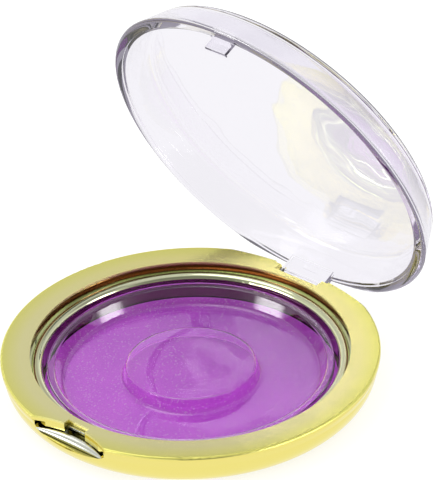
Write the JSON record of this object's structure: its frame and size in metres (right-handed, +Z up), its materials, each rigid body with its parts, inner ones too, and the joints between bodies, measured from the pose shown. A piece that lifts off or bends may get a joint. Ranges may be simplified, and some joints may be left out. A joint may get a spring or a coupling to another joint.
{
  "type": "hinged cosmetic case",
  "caption": "Round flat case with a gold base ring, clear domed lid on a rear hinge, front push catch, glitter card and clear formed tray with a raised island.",
  "frame": {"origin": "centre of the flat foot under the base, on the axis of the round base", "axes": "+Z up through the ring's top face, -Y to the front catch, +Y to the hinge, +X to the right seen from the front"},
  "size_m": [0.085, 0.0922, 0.0848],
  "materials": {
    "gold_plate": "mirror gold electroplate on moulded plastic",
    "gold_satin_plate": "pale gold electroplate, bright with a soft bloom on the flat ring",
    "glitter_card": "purple glitter card",
    "clear_sheet": "thermoformed clear sheet",
    "silver_plate": "mirror silver electroplate on moulded plastic",
    "spring_steel": "bare spring steel strip",
    "clear_plastic": "polished clear moulding"
  },
  "bodies": {
    "base": {"base_shell": "gold_plate", "top_frame": "gold_satin_plate", "liner_card": "glitter_card", "lash_tray": "clear_sheet", "button_spring": "spring_steel"},
    "lid": {"lid": "clear_plastic"},
    "button": {"release_button": "silver_plate"}
  },
  "joints": [
    {"name": "lid_hinge", "type": "hinge", "parent": "base", "child": "lid", "pos_m": [0, 0.0402, 0.0064], "axis": [-1, 0, 0], "range_deg": [-68.5, 45.5]},
    {"name": "button_press", "type": "slide", "parent": "base", "child": "button", "axis": [0, 1, 0], "range_m": [0, 0.0006], "stiffness_N_per_m": 1200, "springref_m": -0.0003, "deforming": ["button_spring"]}
  ]
}
